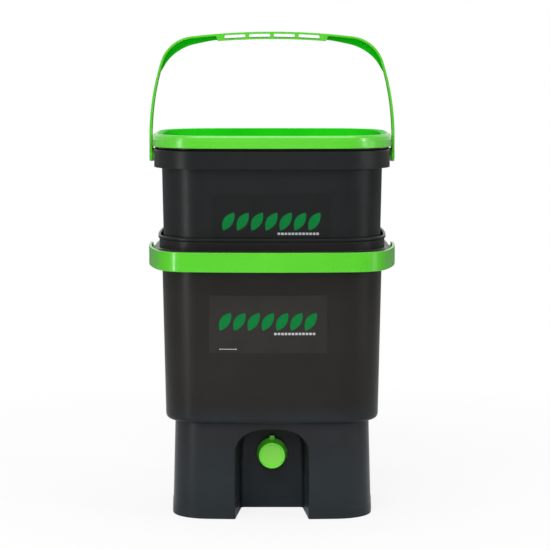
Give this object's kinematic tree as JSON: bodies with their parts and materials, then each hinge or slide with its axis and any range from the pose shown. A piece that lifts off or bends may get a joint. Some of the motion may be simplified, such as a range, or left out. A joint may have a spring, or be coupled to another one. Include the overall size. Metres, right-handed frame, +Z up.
{
  "type": "nested kitchen compost bins with tap",
  "caption": "Rounded rectangular kitchen compost bins nested one in the other, with flared bases, turning taps in arched recesses, bail handles and a press-on lid.",
  "frame": {"origin": "centre of the bounding box on the floor plane", "axes": "+Z up, -Y towards the taps and the folded handle, +X to the right seen from the front"},
  "size_m": [0.3356, 0.3052, 0.6539],
  "materials": {
    "black_plastic": "satin",
    "green_plastic": "satin gloss",
    "black_rubber": "matt",
    "label_film": "satin film"
  },
  "bodies": {
    "lower_bin": {"lower_bucket": "black_plastic", "lower_base": "black_plastic", "lower_label": "label_film", "lower_tap_body": "black_plastic", "lower_tap_seal": "black_rubber", "lower_tap_inner_seal": "black_rubber", "lower_tap_nut": "black_plastic", "lower_tap_o_ring": "black_rubber", "lower_strainer": "black_plastic"},
    "lower_handle": {"lower_handle": "green_plastic"},
    "lower_tap_knob": {"lower_tap_knob": "green_plastic"},
    "upper_bin": {"upper_bucket": "black_plastic", "upper_base": "black_plastic", "upper_label": "label_film", "upper_tap_body": "black_plastic", "upper_tap_seal": "black_rubber", "upper_tap_inner_seal": "black_rubber", "upper_tap_nut": "black_plastic", "upper_tap_o_ring": "black_rubber"},
    "upper_strainer": {"upper_strainer": "black_plastic"},
    "upper_handle": {"upper_handle": "green_plastic"},
    "upper_tap_knob": {"upper_tap_knob": "green_plastic"},
    "upper_lid": {"upper_lid": "green_plastic"}
  },
  "joints": [
    {"name": "lower_handle_swing", "type": "hinge", "parent": "lower_bin", "child": "lower_handle", "pos_m": [0, 0.0149, 0.35255], "axis": [-1, 0, 0], "range_deg": [-30, 29]},
    {"name": "lower_tap_turn", "type": "hinge", "parent": "lower_bin", "child": "lower_tap_knob", "pos_m": [0, -0.01411, 0.0781], "axis": [0, -1, 0], "range_deg": [0, 90]},
    {"name": "upper_bin_lift", "type": "slide", "parent": "lower_bin", "child": "upper_bin", "axis": [0, 0, 1], "range_m": [0, 0.25]},
    {"name": "upper_handle_swing", "type": "hinge", "parent": "upper_bin", "child": "upper_handle", "pos_m": [0, 0.0149, 0.48635], "axis": [1, 0, 0], "range_deg": [-118, 118]},
    {"name": "upper_tap_turn", "type": "hinge", "parent": "upper_bin", "child": "upper_tap_knob", "pos_m": [0, -0.01411, 0.2119], "axis": [0, -1, 0], "range_deg": [0, 90]},
    {"name": "upper_strainer_lift", "type": "slide", "parent": "upper_bin", "child": "upper_strainer", "axis": [0, 0, 1], "range_m": [0, 0.2]},
    {"name": "upper_lid_lift", "type": "slide", "parent": "upper_bin", "child": "upper_lid", "axis": [0, 0, 1], "range_m": [0, 0.018]}
  ]
}
